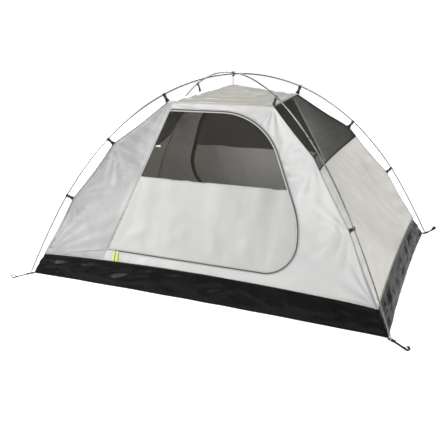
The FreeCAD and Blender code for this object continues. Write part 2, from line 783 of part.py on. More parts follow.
def sliderMaster():
    # local X along the zip, Y up the wall, Z outward, with the zip line at Y = 0
    length = "Sizes.sliderLength"
    half = "-Sizes.sliderLength / 2"
    spine = box("SliderSpine", length, "1.5", "5.2 + Sizes.fabric - 1.6", half, "-1", "-1.8 - Sizes.fabric")
    top = box("SliderTop", length, "6.5", "1.5", half, "-6.5", "0.3")
    under = box("SliderUnder", length, "6.5", "1.5", half, "-6.5", "-1.8 - Sizes.fabric")
    posts = [
        box(f"SliderPost{i}", "1.4", "3.6", "3.8", x, "-4.8", "1.7")
        for i, x in enumerate((half, f"-({half}) - 1.4"))]
    pin = rod("SliderPin", "0.8", length, half, "-3", "4.2", Rotation(Vector(0, 1, 0), 90))
    return joined("SliderMaster", [spine, top, under, pin] + posts)


def pullShape(length, width, eyeWidth):
    # eye at the origin along X, a tapered tab hanging down -Y
    eye = Part.makeCylinder(2.1, eyeWidth, Vector(-eyeWidth / 2, 0, 0), Vector(1, 0, 0))
    hole = Part.makeCylinder(0.85, eyeWidth + 2, Vector(-eyeWidth / 2 - 1, 0, 0), Vector(1, 0, 0))
    tab = slab([
        Vector(-eyeWidth / 2 + 0.6, -1, -1.1), Vector(eyeWidth / 2 - 0.6, -1, -1.1),
        Vector(width / 2, -length, -1.1), Vector(-width / 2, -length, -1.1)], Vector(0, 0, 2.2))
    return eye.fuse(tab).cut(hole).removeSplitter()


slider = sliderMaster()
doc.recompute()
pull = pullShape(size("pullLength"), size("pullWidth"), size("tabEye"))
sliderSpots = {name: size("hingeFoot") + size(name + "SliderPlace") for name in ("left", "right")}
for side, turn in sides.items():
    for name, across in sliderSpots.items():
        place = turn.multiply(frontFrame).multiply(Placement(Vector(across, size("doorSill"), 0), Rotation()))
        shaped(f"{side}_{name}_slider", slider.Shape, place)
        pinPlace = place.multiply(Placement(Vector(0, -3, 4.2), Rotation()))
        shaped(f"{side}_{name}_pull", pull, pinPlace)
        alongZip = place.Rotation.multVec(Vector(1, 0, 0))
        pivots[f"{side}_{name}_slider"] = (place.Base, alongZip)
        pivots[f"{side}_{name}_pull"] = (pinPlace.Base, alongZip * -1)


# door ties: a toggle on an anchor beside the hinge seam, and the elastic loop it buttons into

tieRise = size("tieRise")
toggleAcross = hingeAcross(tieRise, size("toggleBeside"))
loopAcross = hingeAcross(tieRise, size("tieLoopBeside"))
toggle = pullShape(size("toggleLength"), size("toggleWidth"), size("tabEye"))
anchorParts = [
    Part.makeBox(10, 9, 1.2, Vector(-5, -5, 0.5)),
    Part.makeBox(1.4, 3.6, 4, Vector(-5, -1.8, 1.5)),
    Part.makeBox(1.4, 3.6, 4, Vector(3.6, -1.8, 1.5)),
    Part.makeCylinder(0.8, 10, Vector(-5, 0, 4.4), Vector(1, 0, 0))]
anchor = anchorParts[0].fuse(anchorParts[1:]).removeSplitter()
loopWire = Part.Wire([
    Part.makeLine(Vector(-4, 0, 0), Vector(-4, -16, 0)),
    Part.Arc(Vector(-4, -16, 0), Vector(0, -20, 0), Vector(4, -16, 0)).toShape(),
    Part.makeLine(Vector(4, -16, 0), Vector(4, 0, 0))])
loopRim = Part.Wire(Part.makeCircle(1, Vector(-4, 0, 0), Vector(0, 1, 0)))
tieLoop = loopWire.makePipeShell([loopRim], True, True)
for side, turn in sides.items():
    wallPlane = turn.multiply(frontFrame)
    toggleFrame = wallPlane.multiply(Placement(Vector(toggleAcross, tieRise, 0), Rotation(up, 90)))
    loopPlace = Vector(loopAcross, tieRise - size("tieLoopDrop"), 1.5)
    loopFrame = wallPlane.multiply(Placement(loopPlace, Rotation(up, size("tieLoopLean"))))
    shaped(f"{side}_door_ties", Part.makeCompound([moved(anchor, toggleFrame), moved(tieLoop, loopFrame)]))
    pinPlace = toggleFrame.multiply(Placement(Vector(0, 0, 4.4), Rotation()))
    shaped(f"{side}_toggle", toggle, pinPlace)
    pivots[f"{side}_toggle"] = (pinPlace.Base, toggleFrame.Rotation.multVec(Vector(-1, 0, 0)))


# turning lines, for reference

lines = doc.addObject("Spreadsheet::Sheet", "Pivots")
for row, (name, (place, way)) in enumerate(pivots.items(), 1):
    lines.set(f"A{row}", name)
    for column, value in zip("BCDEFG", [*place, *way]):
        lines.set(f"{column}{row}", f"{value:.6f}")
doc.recompute()

for part in doc.Objects:
    if "Invalid" in part.State or "Error" in part.State:
        raise RuntimeError(f"{part.Label}: {part.State}")
bad = [p.Label for p in subParts if p.Shape.isNull() or not p.Shape.isValid() or p.Shape.Volume <= 0]
if bad:
    raise RuntimeError(f"bad shapes: {bad}")

os.makedirs("parts", exist_ok=True)
for part in subParts:
    part.Shape.exportStep(f"parts/{part.Label}.step")
print(len(subParts), "pieces written")
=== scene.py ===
import bpy
import bmesh
import math
from mathutils import Matrix, Vector, noise


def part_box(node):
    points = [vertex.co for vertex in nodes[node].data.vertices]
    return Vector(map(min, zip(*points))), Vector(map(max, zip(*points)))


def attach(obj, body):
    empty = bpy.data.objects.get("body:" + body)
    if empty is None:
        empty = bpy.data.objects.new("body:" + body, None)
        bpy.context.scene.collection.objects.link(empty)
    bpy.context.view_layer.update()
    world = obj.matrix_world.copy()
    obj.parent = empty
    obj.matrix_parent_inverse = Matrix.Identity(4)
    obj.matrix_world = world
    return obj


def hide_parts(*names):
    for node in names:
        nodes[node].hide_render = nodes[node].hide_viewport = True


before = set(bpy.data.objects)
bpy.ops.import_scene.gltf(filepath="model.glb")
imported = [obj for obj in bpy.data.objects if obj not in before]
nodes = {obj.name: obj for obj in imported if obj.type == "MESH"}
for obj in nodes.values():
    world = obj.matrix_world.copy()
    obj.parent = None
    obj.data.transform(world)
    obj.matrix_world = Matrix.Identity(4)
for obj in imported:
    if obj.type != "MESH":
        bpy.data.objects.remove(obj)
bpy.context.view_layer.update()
scene = bpy.context.scene
bpy.ops.object.select_all(action="DESELECT")
print("frame loaded")


# measures read from the frame

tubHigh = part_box("bathtub_floor")[1]
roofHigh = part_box("roof_panel")[1]
halfLength = tubHigh[0]
halfWidth = tubHigh[1]
peakHeight = roofHigh[2]
xAxis = Vector((1, 0, 0))
yAxis = Vector((0, 1, 0))
up = Vector((0, 0, 1))

# corner seams: half size as a share of the floor's, and height, at the tub's seam and each row of clips
shell = {
    "levels": [(0.94, 0.1292), (0.774, 0.490), (0.5635, 0.8245), (roofHigh[0] / halfLength, 1.061)],
    "scallop": 0.0045,
    "netSeam": 0.762,
    "frontBow": 0.034,
    "endBow": 0.018,
    "cloth": 0.0009,
}

# door outline in the plane of the wall: across from the middle, up the slope from the tub's seam
door = {
    "hingeFoot": -0.597,
    "hingeHead": -0.324,
    "sill": 0.0925,
    "head": 1.007,
    "side": 0.604,
    "lean": 25.6,
    "seam": 0.568,
    "lowCorner": 0.175,
    "sideBend": 0.500,
    "highCorner": 0.430,
    "hingeGap": 0.0036,
    "tape": 0.0105,
    "gap": 0.0015,
}


# materials

def newMaterial(name):
    material = bpy.data.materials.new(name)
    material.use_nodes = True
    tree = material.node_tree
    return material, tree, tree.nodes["Principled BSDF"]


def addNode(tree, kind, **values):
    node = tree.nodes.new(kind)
    for key, value in values.items():
        if key in node.inputs:
            node.inputs[key].default_value = value
        else:
            setattr(node, key, value)
    return node


def maths(tree, operation, first, second=None):
    node = addNode(tree, "ShaderNodeMath", operation=operation)
    for socket, value in zip(node.inputs, (first, second)):
        if value is None:
            continue
        if isinstance(value, (int, float)):
            socket.default_value = value
        else:
            tree.links.new(value, socket)
    return node.outputs[0]


def grey(value):
    return (value, value, value)


def dimmed(colour, share):
    return tuple(c * share for c in colour)


def ramp(tree, factor, stops):
    node = tree.nodes.new("ShaderNodeValToRGB")
    while len(node.color_ramp.elements) < len(stops):
        node.color_ramp.elements.new(0.5)
    for element, (place, colour) in zip(node.color_ramp.elements, stops):
        element.position = place
        element.color = (*colour, 1)
    tree.links.new(factor, node.inputs["Fac"])
    return node.outputs["Color"]


def coordinates(tree, kind, scale=(1, 1, 1)):
    source = tree.nodes.new("ShaderNodeTexCoord")
    mapping = addNode(tree, "ShaderNodeMapping")
    mapping.inputs["Scale"].default_value = scale
    tree.links.new(source.outputs[kind], mapping.inputs["Vector"])
    return mapping.outputs["Vector"]


def noiseAt(tree, vector, scale, detail=3, roughness=0.55):
    node = addNode(tree, "ShaderNodeTexNoise", Scale=scale, Detail=detail, Roughness=roughness)
    tree.links.new(vector, node.inputs["Vector"])
    return node.outputs["Fac"]


def creasesAt(tree, vector, scale, detail=4):
    # sharp-edged crumples, as in stiff coated cloth
    node = addNode(tree, "ShaderNodeTexNoise", noise_type="RIDGED_MULTIFRACTAL", Scale=scale,
                   Detail=detail)
    node.inputs["Roughness"].default_value = 0.45
    tree.links.new(vector, node.inputs["Vector"])
    return node.outputs["Fac"]


def weaveAt(tree, vector, pitch):
    # plain weave: warp and weft ribs that swap over and under, threads 'pitch' metres apart
    bands = []
    for axis in ("X", "Y"):
        wave = addNode(tree, "ShaderNodeTexWave", bands_direction=axis, Scale=0.31416 / pitch)
        tree.links.new(vector, wave.inputs["Vector"])
        bands.append(wave.outputs["Fac"])
    return maths(tree, "MAXIMUM", bands[0], bands[1])


def bumped(tree, shader, height, strength, distance, normal=None):
    bump = addNode(tree, "ShaderNodeBump", Strength=strength, Distance=distance)
    tree.links.new(height, bump.inputs["Height"])
    if normal is not None:
        tree.links.new(normal, bump.inputs["Normal"])
    tree.links.new(bump.outputs["Normal"], shader.inputs["Normal"])
    return bump.outputs["Normal"]


def besideHinge(tree, flat):
    # mask of the painted shade: 1 on the cloth between the hinge seam and the corner, 0 on the rest of
    # the wall
    split = tree.nodes.new("ShaderNodeSeparateXYZ")
    tree.links.new(flat, split.inputs["Vector"])
    slope = (door["hingeHead"] - door["hingeFoot"]) / (door["head"] - door["sill"])
    line = maths(tree, "MULTIPLY_ADD", split.outputs["Y"], slope)
    line.node.inputs[2].default_value = door["hingeFoot"] - door["sill"] * slope
    return maths(tree, "LESS_THAN", split.outputs["X"], line)


def clothMaterial(name, colour, dark, pitch=0.0011, rough=(0.36, 0.52), sheen=0.15, crumple=0.8, glow=0.3,
                  creases=(7.0, 0.020), hingeShade=None):
    # taffeta: broad mottling, small crumples over a fine weave, and some light coming through from behind
    material, tree, shader = newMaterial(name)
    flat = coordinates(tree, "UV")
    broad = noiseAt(tree, flat, 3.2, 4)
    tint = ramp(tree, broad, [(0.3, dark), (0.7, colour)])
    # painted shade: the cloth between the hinge seam and the corner gets darker greys than the rest of
    # the wall
    if hingeShade:
        hingeShadeTone = ramp(tree, noiseAt(tree, flat, 4.5, 3), [(0.3, hingeShade["low"]), (0.7, hingeShade["high"])])
        mix = addNode(tree, "ShaderNodeMix", data_type="RGBA")
        first, second = [socket for socket in mix.inputs if socket.type == "RGBA"]
        tree.links.new(besideHinge(tree, flat), mix.inputs["Factor"])
        tree.links.new(tint, first)
        tree.links.new(hingeShadeTone, second)
        tint = next(socket for socket in mix.outputs if socket.type == "RGBA")
    tree.links.new(tint, shader.inputs["Base Color"])
    fine = noiseAt(tree, flat, 40, 3)
    low, high = rough
    tree.links.new(ramp(tree, fine, [(0.3, grey(low)), (0.7, grey(high))]), shader.inputs["Roughness"])
    folds = creasesAt(tree, flat, creases[0])
    soft = bumped(tree, shader, folds, crumple, creases[1])
    bumped(tree, shader, weaveAt(tree, flat, pitch), 0.3, 0.0003, soft)
    shader.inputs["Sheen Weight"].default_value = sheen
    shader.inputs["Sheen Roughness"].default_value = 0.4
    shader.inputs["Specular IOR Level"].default_value = 0.5 if glow else 0.09
    if glow:
        through = tree.nodes.new("ShaderNodeBsdfTranslucent")
        tree.links.new(tint, through.inputs["Color"])
        blend = addNode(tree, "ShaderNodeMixShader")
        blend.inputs["Fac"].default_value = glow
        tree.links.new(shader.outputs["BSDF"], blend.inputs[1])
        tree.links.new(through.outputs["BSDF"], blend.inputs[2])
        tree.links.new(blend.outputs["Shader"], tree.nodes["Material Output"].inputs["Surface"])
    return material


def netMaterial(name, colour, cover):
    # fine knitted net: small round holes in rows, mostly see-through
    material, tree, shader = newMaterial(name)
    flat = coordinates(tree, "UV")
    holes = addNode(tree, "ShaderNodeTexVoronoi", Scale=520, Randomness=0.15)
    tree.links.new(flat, holes.inputs["Vector"])
    thread = ramp(tree, holes.outputs["Distance"],
                  [(0.30, grey(cover - 0.16)), (0.52, grey(cover + 0.16))])
    tree.links.new(thread, shader.inputs["Alpha"])
    patchy = noiseAt(tree, flat, 5, 4)
    tree.links.new(ramp(tree, patchy, [(0.3, dimmed(colour, 0.8)), (0.7, colour)]),
                   shader.inputs["Base Color"])
    shader.inputs["Roughness"].default_value = 0.85
    shader.inputs["Specular IOR Level"].default_value = 0.15
    return material


def webbingMaterial(name, colour, rib=0.0016):
    material, tree, shader = newMaterial(name)
    place = coordinates(tree, "Object")
    speckle = noiseAt(tree, place, 260, 2)
    tree.links.new(ramp(tree, speckle, [(0.35, dimmed(colour, 0.6)), (0.65, dimmed(colour, 1.5))]),
                   shader.inputs["Base Color"])
    wave = addNode(tree, "ShaderNodeTexWave", bands_direction="DIAGONAL", Scale=0.31416 / rib,
                   Distortion=0.4)
    tree.links.new(place, wave.inputs["Vector"])
    bumped(tree, shader, wave.outputs["Fac"], 0.6, 0.0004)
    shader.inputs["Roughness"].default_value = 0.72
    shader.inputs["Sheen Weight"].default_value = 0.08
    return material


def plasticMaterial(name, colour, rough=0.42):
    material, tree, shader = newMaterial(name)
    place = coordinates(tree, "Object")
    grain = noiseAt(tree, place, 900, 3)
    tree.links.new(ramp(tree, grain, [(0.3, dimmed(colour, 0.85)), (0.7, dimmed(colour, 1.15))]),
                   shader.inputs["Base Color"])
    scuff = noiseAt(tree, place, 60, 4)
    tree.links.new(ramp(tree, scuff, [(0.35, grey(rough - 0.08)), (0.75, grey(rough + 0.16))]),
                   shader.inputs["Roughness"])
    bumped(tree, shader, grain, 0.2, 0.0001)
    return material


def metalMaterial(name, colour, rough=0.32, scale=120):
    material, tree, shader = newMaterial(name)
    place = coordinates(tree, "Object", (1, 1, 1))
    scratches = noiseAt(tree, place, scale, 5, 0.7)
    tree.links.new(ramp(tree, scratches, [(0.3, dimmed(colour, 0.86)), (0.7, colour)]),
                   shader.inputs["Base Color"])
    tree.links.new(ramp(tree, scratches, [(0.35, grey(rough - 0.08)), (0.7, grey(rough + 0.14))]),
                   shader.inputs["Roughness"])
    bumped(tree, shader, scratches, 0.12, 0.0002)
    shader.inputs["Metallic"].default_value = 1
    return material


def zipMaterial(name, colour, pitch):
    # nylon coil: close teeth across the run, which follows the piece's own U; the colour darkens in the
    # grooves between teeth, painted shade
    material, tree, shader = newMaterial(name)
    flat = coordinates(tree, "UV")
    wave = addNode(tree, "ShaderNodeTexWave", bands_direction="X", Scale=0.31416 / pitch)
    tree.links.new(flat, wave.inputs["Vector"])
    tree.links.new(ramp(tree, wave.outputs["Fac"], [(0.2, dimmed(colour, 0.45)), (0.7, colour)]),
                   shader.inputs["Base Color"])
    bumped(tree, shader, wave.outputs["Fac"], 0.9, 0.0008)
    shader.inputs["Roughness"].default_value = 0.38
    return material


def tapeMaterial(name, colour, seam):
    # woven tape with a line of stitches along each edge; U runs along, V across in metres
    material, tree, shader = newMaterial(name)
    flat = coordinates(tree, "UV")
    fine = weaveAt(tree, flat, 0.0008)
    stitches = addNode(tree, "ShaderNodeTexBrick", Scale=1)
    stitches.offset = 0
    stitches.inputs["Brick Width"].default_value = 0.0042
    stitches.inputs["Row Height"].default_value = 0.0034
    stitches.inputs["Mortar Size"].default_value = 0.0009
    stitches.inputs["Color1"].default_value = (1, 1, 1, 1)
    stitches.inputs["Color2"].default_value = (1, 1, 1, 1)
    stitches.inputs["Mortar"].default_value = (0, 0, 0, 1)
    tree.links.new(flat, stitches.inputs["Vector"])
    tree.links.new(ramp(tree, stitches.outputs["Color"], [(0.1, seam), (0.9, colour)]),
                   shader.inputs["Base Color"])
    first = bumped(tree, shader, stitches.outputs["Color"], 0.5, 0.0005)
    bumped(tree, shader, fine, 0.4, 0.0003, first)
    shader.inputs["Roughness"].default_value = 0.7
    return material


look = {
    # wall: the darker low and high greys beside the hinge are painted shade
    "wall": clothMaterial("wallTaffeta", (0.84, 0.84, 0.825), (0.76, 0.76, 0.75),
                          hingeShade={"low": (0.50, 0.50, 0.495), "high": (0.66, 0.66, 0.65)}),
    "door": clothMaterial("doorTaffeta", (0.74, 0.735, 0.705), (0.67, 0.665, 0.64)),
    "end": clothMaterial("endTaffeta", (0.86, 0.84, 0.785), (0.74, 0.725, 0.68)),
    "roof": clothMaterial("roofTaffeta", (0.72, 0.70, 0.64), (0.60, 0.585, 0.535)),
    "tub": clothMaterial("tubNylon", (0.008, 0.008, 0.0075), (0.004, 0.004, 0.004), 0.0009,
                         (0.24, 0.40), 0, 0.8, 0, (5.0, 0.012)),
    "net": netMaterial("window_net", (0.034, 0.030, 0.022), 0.50),
    # darker and denser than the front net: painted shade for the dark inside seen through two layers of
    # net
    "denseNet": netMaterial("dense_net", (0.014, 0.013, 0.011), 0.82),
    "flap": clothMaterial("zipFlap", (0.014, 0.014, 0.013), (0.010, 0.010, 0.010), glow=0),
    "tape": tapeMaterial("zipTape", (0.74, 0.73, 0.73), (0.50, 0.49, 0.50)),
    "coil": zipMaterial("zipCoil", (0.20, 0.18, 0.19), 0.0016),
    "binding": webbingMaterial("blackBinding", (0.010, 0.010, 0.010), 0.001),
    "hinge": webbingMaterial("hingeSeam", (0.82, 0.82, 0.81), 0.001),
    "piping": webbingMaterial("seamPiping", (0.50, 0.47, 0.40), 0.0012),
    "webbing": webbingMaterial("webbing", (0.007, 0.007, 0.007)),
    "pole": metalMaterial("poleAlloy", (0.27, 0.27, 0.265), 0.30, 30),
    "fitting": metalMaterial("tipAlloy", (0.50, 0.50, 0.50), 0.30, 400),
    "grommet": metalMaterial("grommetNickel", (0.36, 0.35, 0.34), 0.34, 500),
    "sliderMetal": metalMaterial("sliderZinc", (0.30, 0.30, 0.31), 0.38, 600),
    "black": plasticMaterial("hookPlastic", (0.010, 0.010, 0.010)),
    "white": plasticMaterial("togglePlastic", (0.78, 0.78, 0.76)),
    "rubber": plasticMaterial("shockRubber", (0.03, 0.03, 0.03), 0.6),
    "neon": webbingMaterial("neonPull", (0.62, 0.86, 0.05), 0.0014),
    "cordDark": webbingMaterial("cordDark", (0.02, 0.02, 0.02), 0.0008),
    "hem": clothMaterial("seamHem", (0.60, 0.61, 0.625), (0.53, 0.54, 0.555), 0.0009),
}
print("materials ready")


# mesh helpers

def sheetMesh(name, rows, material, closed=False, thickness=0.0, maps=None):
    # rows of points become a grid of faces; the map is the run along each row and across the rows
    size = len(rows[0])
    mesh = bpy.data.meshes.new(name)
    flat = [p for row in rows for p in row]
    faces = []
    for i in range(len(rows) - 1):
        for j in range(size if closed else size - 1):
            k = (j + 1) % size
            faces.append((i * size + j, i * size + k, (i + 1) * size + k, (i + 1) * size + j))
    mesh.from_pydata([tuple(p) for p in flat], [], faces)
    if maps is None:
        maps = runMap(rows)
    layer = mesh.uv_layers.new(name="run")
    spots = [m for row in maps for m in row]
    for polygon in mesh.polygons:
        for loop in polygon.loop_indices:
            layer.data[loop].uv = spots[mesh.loops[loop].vertex_index]
    mesh.materials.append(material)
    mesh.shade_smooth()
    piece = bpy.data.objects.new(name, mesh)
    scene.collection.objects.link(piece)
    if thickness:
        thicken(piece, thickness)
    return piece


def thicken(piece, thickness):
    wall = piece.modifiers.new("wall", "SOLIDIFY")
    wall.thickness = thickness
    wall.offset = 0
    applyModifier(piece, "wall")


def runMap(rows):
    maps = []
    across = 0
    for i, row in enumerate(rows):
        if i:
            across += (row[0] - rows[i - 1][0]).length
        along = 0
        line = []
        for j, point in enumerate(row):
            if j:
                along += (point - row[j - 1]).length
            line.append((along, across))
        maps.append(line)
    return maps


def applyModifier(piece, name):
    bpy.ops.object.select_all(action="DESELECT")
    bpy.context.view_layer.objects.active = piece
    piece.select_set(True)
    bpy.ops.object.modifier_apply(modifier=name)
    piece.select_set(False)


def tube(name, points, radius, sides, material, closed=False):
    # round tube along a line of points, with a frame that is carried along it
    count = len(points)
    rows = []
    side = None
    for i, point in enumerate(points):
        before = points[i - 1] if i or closed else point
        after = points[(i + 1) % count] if i < count - 1 or closed else point
        along = (after - before).normalized()
        if side is None:
            side = along.orthogonal().normalized()
        side = (side - along * side.dot(along)).normalized()
        other = along.cross(side)
        turn = [2 * math.pi * k / sides for k in range(sides)]
        rows.append([point + (side * math.cos(a) + other * math.sin(a)) * radius for a in turn])
    if closed:
        rows.append(rows[0])
    run = runMap([[row[0] for row in rows]])[0]
    around = 2 * math.pi * radius / sides
    maps = [[(run[i][0], k * around) for k in range(sides)] for i in range(len(rows))]
    piece = sheetMesh(name, rows, material, True, 0, maps)
    if closed:
        mendDoubles(piece)
    else:
        capEnds(piece)
    return piece


def mendDoubles(piece):
    work = bmesh.new()
    work.from_mesh(piece.data)
    bmesh.ops.remove_doubles(work, verts=work.verts, dist=1e-6)
    bmesh.ops.recalc_face_normals(work, faces=work.faces)
    work.to_mesh(piece.data)
    work.free()


def capEnds(piece):
    work = bmesh.new()
    work.from_mesh(piece.data)
    rims = [e for e in work.edges if e.is_boundary]
    bmesh.ops.holes_fill(work, edges=rims, sides=0)
    bmesh.ops.recalc_face_normals(work, faces=work.faces)
    work.to_mesh(piece.data)
    work.free()


def spread(points, count):
    # the same line with 'count' points evenly along it
    runs = [0.0]
    for a, b in zip(points, points[1:]):
        runs.append(runs[-1] + (b - a).length)
    result = []
    k = 0
    for i in range(count):
        goal = runs[-1] * i / (count - 1)
        while k < len(runs) - 2 and runs[k + 1] < goal:
            k += 1
        part = (goal - runs[k]) / max(runs[k + 1] - runs[k], 1e-9)
        result.append(points[k].lerp(points[k + 1], min(max(part, 0), 1)))
    return result


def smooth(value):
    value = min(max(value, 0), 1)
    return value * value * (3 - 2 * value)


def waver(x, y, z):
    # smooth noise, about -1 to 1
    return noise.noise(Vector((x, y, z)))


# shape of the shell

def cornerPoint(q, sideX=1, sideY=1):
    # corner seam from the tub (0) past the clips (1, 2) to the roof (3), drawn in a little between clips
    k = min(int(q), 2)
    t = q - k
    (ratio0, height0), (ratio1, height1) = shell["levels"][k], shell["levels"][k + 1]
    ratio = ratio0 + (ratio1 - ratio0) * t
    height = height0 + (height1 - height0) * t
    pull = shell["scallop"] * math.sin(math.pi * t) ** 2
    ratio -= pull / halfLength
    height -= pull * 0.3
    return Vector((sideX * ratio * halfLength, sideY * ratio * halfWidth, height))


def planeFrame(across, low, high):
    rise = (high - low).normalized()
    out = across.cross(rise)
    return {"low": low, "across": across, "rise": rise, "out": out, "length": (high - low).length}


tubRatio, tubSeam = shell["levels"][0]
roofRatio, roofEdge = shell["levels"][3]
frontPlane = planeFrame(
    xAxis, Vector((0, -tubRatio * halfWidth, tubSeam)), Vector((0, -roofRatio * halfWidth, roofEdge)))
endPlane = planeFrame(
    yAxis, Vector((tubRatio * halfLength, 0, tubSeam)), Vector((roofRatio * halfLength, 0, roofEdge)))


def onPlane(plane, across, rise, out=0.0):
    return plane["low"] + plane["across"] * across + plane["rise"] * rise + plane["out"] * out


def inPlane(plane, point):
    offset = point - plane["low"]
    return offset.dot(plane["across"]), offset.dot(plane["rise"]), offset.dot(plane["out"])


def turned(point, side):
    return point if side in ("front", "right") else Vector((-point.x, -point.y, point.z))


def seamBow(across, half, bow):
    # the tub's seam rises between the corners
    return bow * (1 - (across / half) ** 2) ** 0.8 if abs(across) < half else 0.0


def frontBow(across):
    sway = 0.003 * waver(across * 4, 0, 3.3)
    fade = smooth((tubRatio * halfLength - abs(across)) / 0.15)
    return seamBow(across, tubRatio * halfLength, shell["frontBow"]) + sway * fade


def endBow(across):
    return seamBow(across, tubRatio * halfWidth, shell["endBow"])


def hingeAcross(rise, beside=0.0):
    slope = (door["hingeHead"] - door["hingeFoot"]) / (door["head"] - door["sill"])
    return door["hingeFoot"] + (rise - door["sill"]) * slope + beside / math.cos(math.atan(slope))


def zipPath(grow, beside=0.0):
    # from the head of the hinge round to its foot, 'grow' outside the zip line, with the joints' places
    foot = door["sill"] - grow
    head = door["head"] + grow
    low = door["lowCorner"] + grow
    side = door["sideBend"] + grow
    high = door["highCorner"] + grow
    lean = math.radians(door["lean"])
    lowCentre = Vector((door["side"] + grow - low, foot + low))
    sideCentre = Vector((door["side"] + grow - side, foot + low))
    highRise = head - high
    reach = side - high - (highRise - sideCentre.y) * math.sin(lean)
    highCentre = Vector((sideCentre.x + reach / math.cos(lean), highRise))

    def arc(centre, radius, first, last, count):
        turns = [first + (last - first) * i / count for i in range(count)]
        return [centre + Vector((math.cos(a), math.sin(a))) * radius for a in turns]

    def line(start, end, count):
        return [start.lerp(end, i / count) for i in range(count)]

    quarter = math.pi / 2
    slantTop = highCentre + Vector((math.cos(lean), math.sin(lean))) * high
    slantFoot = sideCentre + Vector((math.cos(lean), math.sin(lean))) * side
    lowEnd = Vector((lowCentre.x, foot))
    path = line(Vector((hingeAcross(head, beside), head)), Vector((highCentre.x, head)), 36)
    path += arc(highCentre, high, quarter, lean, 56)
    marks = [len(path)]
    path += line(slantTop, slantFoot, 34) + arc(sideCentre, side, lean, 0, 30)
    marks.append(len(path))
    path += arc(lowCentre, low, 0, -quarter, 36)
    marks.append(len(path))
    path += line(lowEnd, Vector((hingeAcross(foot, beside), foot)), 90)
    path.append(Vector((hingeAcross(foot, beside), foot)))
    return path, marks


# wrinkles: pulls that run out from the clips, slack between them, and puckers along the sill

def fan(q, way, reach, lift, count):
    across, rise = inPlane(frontPlane, cornerPoint(q, way, -1))[:2]
    return {"across": across, "rise": rise, "reach": reach, "lift": lift, "count": count}


fans = [fan(q, way, 0.16, 0.0070, 13) for way in (-1, 1) for q in (1, 2, 3)]
fans += [fan(0, -1, 0.22, 0.0130, 27), fan(0, 1, 0.18, 0.0070, 21)]


wallWrinkle = {
    "slack": 0.0085, "smallSlack": 0.0066, "crease": 0.0050, "sink": 0.001,
    "pucker": 0.0022, "puckerReach": 0.05, "pleat": 0.0062,
}


def wallFolds(across, rise, seed):
    slack = wallWrinkle["slack"] * waver(across * 2.6, rise * 2.2, seed)
    slack += wallWrinkle["smallSlack"] * waver(across * 7, rise * 4, seed + 4)
    crease = abs(waver(across * 15, rise * 11 - across * 6, seed + 2))
    slack -= wallWrinkle["crease"] * crease + wallWrinkle["sink"]
    pulls = 0
    for k, spot in enumerate(fans):
        distance = math.hypot(across - spot["across"], rise - spot["rise"])
        if distance > 4 * spot["reach"]:
            continue
        angle = math.atan2(rise - spot["rise"], across - spot["across"])
        wobble = 4 * waver(angle * 1.5 + distance * 2, k * 3.1, seed + 8)
        strength = spot["lift"] * math.exp(-distance / spot["reach"]) * smooth(distance / 0.06)
        pulls += strength * math.sin(angle * spot["count"] + wobble)
    pucker = wallWrinkle["pucker"] * math.sin(across * 95 + 4 * waver(across * 7, 0, seed))
    pucker *= math.exp(-max(rise - 0.02, 0) / wallWrinkle["puckerReach"])
    pucker *= 0.55 + waver(across * 3, 2, seed)
    # level pleats pulled across towards each long seam of the upper wall
    edge = smooth((abs(across - 0.02) - 0.30) / 0.22) * smooth((rise - 0.5) / 0.15)
    sway = 5 * waver(across * 2, rise * 2, seed)
    pleat = wallWrinkle["pleat"] * edge * math.sin(rise * 88 - abs(across) * 24 + sway)
    pleat *= 0.4 + 0.9 * abs(waver(across * 3, rise * 4, seed + 6))
    return slack + pulls + pucker + pleat


# how far the cloth's edge lies from the zip line
doorEdge = 0.006


def wallSheet(side, seed):
    # one sheet from the door's edge out to the corner seams, the roof and the tub
    inner, marks = zipPath(doorEdge, door["hingeGap"])
    steps = 90
    hinge = []
    for i in range(steps):
        rise = inner[-1].y + (inner[0].y - inner[-1].y) * i / steps
        hinge.append(Vector((hingeAcross(rise, -door["hingeGap"]), rise)))
    length = frontPlane["length"]
    edges = {}
    for way in (-1, 1):
        seam = [cornerPoint(3 * i / steps, way, -1) for i in range(steps + 1)]
        edges[way] = [Vector(inPlane(frontPlane, p)) for p in seam]
    half = tubRatio * halfLength
    head = [Vector((roofRatio * halfLength * (2 * i / steps - 1), length, 0)) for i in range(steps + 1)]
    foot = []
    for i in range(2 * steps + 1):
        across = half * (1 - i / steps)
        foot.append(Vector((across, frontBow(across), 0)))
    top = spread(head, marks[0] + 1)[:-1]
    right = spread(list(reversed(edges[1])), marks[1] - marks[0] + 1)[:-1]
    low = spread(foot, len(inner) - marks[1])
    left = spread(edges[-1], steps + 1)[:-1]
    outer = left + top + right + low
    loop = hinge + inner
    count = 34
    rows = []
    maps = []
    for j in range(count + 1):
        share = j / count
        row = []
        line = []
        for near, far in zip(loop, outer):
            across = near.x + (far.x - near.x) * share
            rise = near.y + (far.y - near.y) * share
            out = far.z * share ** 1.7
            span = math.hypot(far.x - near.x, far.y - near.y)
            fade = smooth(share * span / 0.05) * smooth((1 - share) * span / 0.028 + 0.02)
            out += wallFolds(across, rise, seed) * fade
            row.append(turned(onPlane(frontPlane, across, rise, out), side))
            line.append((across, rise))
        rows.append(row)
        maps.append(line)
    piece = sheetMesh(side + "_wall_cloth", rows, look["wall"], False, shell["cloth"], maps)
    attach(piece, "root")
    panels = ("hinge_panel", "sill_panel", "side_panel", "head_panel")
    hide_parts(*[f"{side}_{name}" for name in panels])


doorWrinkle = {"sag": 0.0070, "smallSag": 0.0036, "crease": 0.0052, "creaseReach": 0.11, "hang": 0.0026}


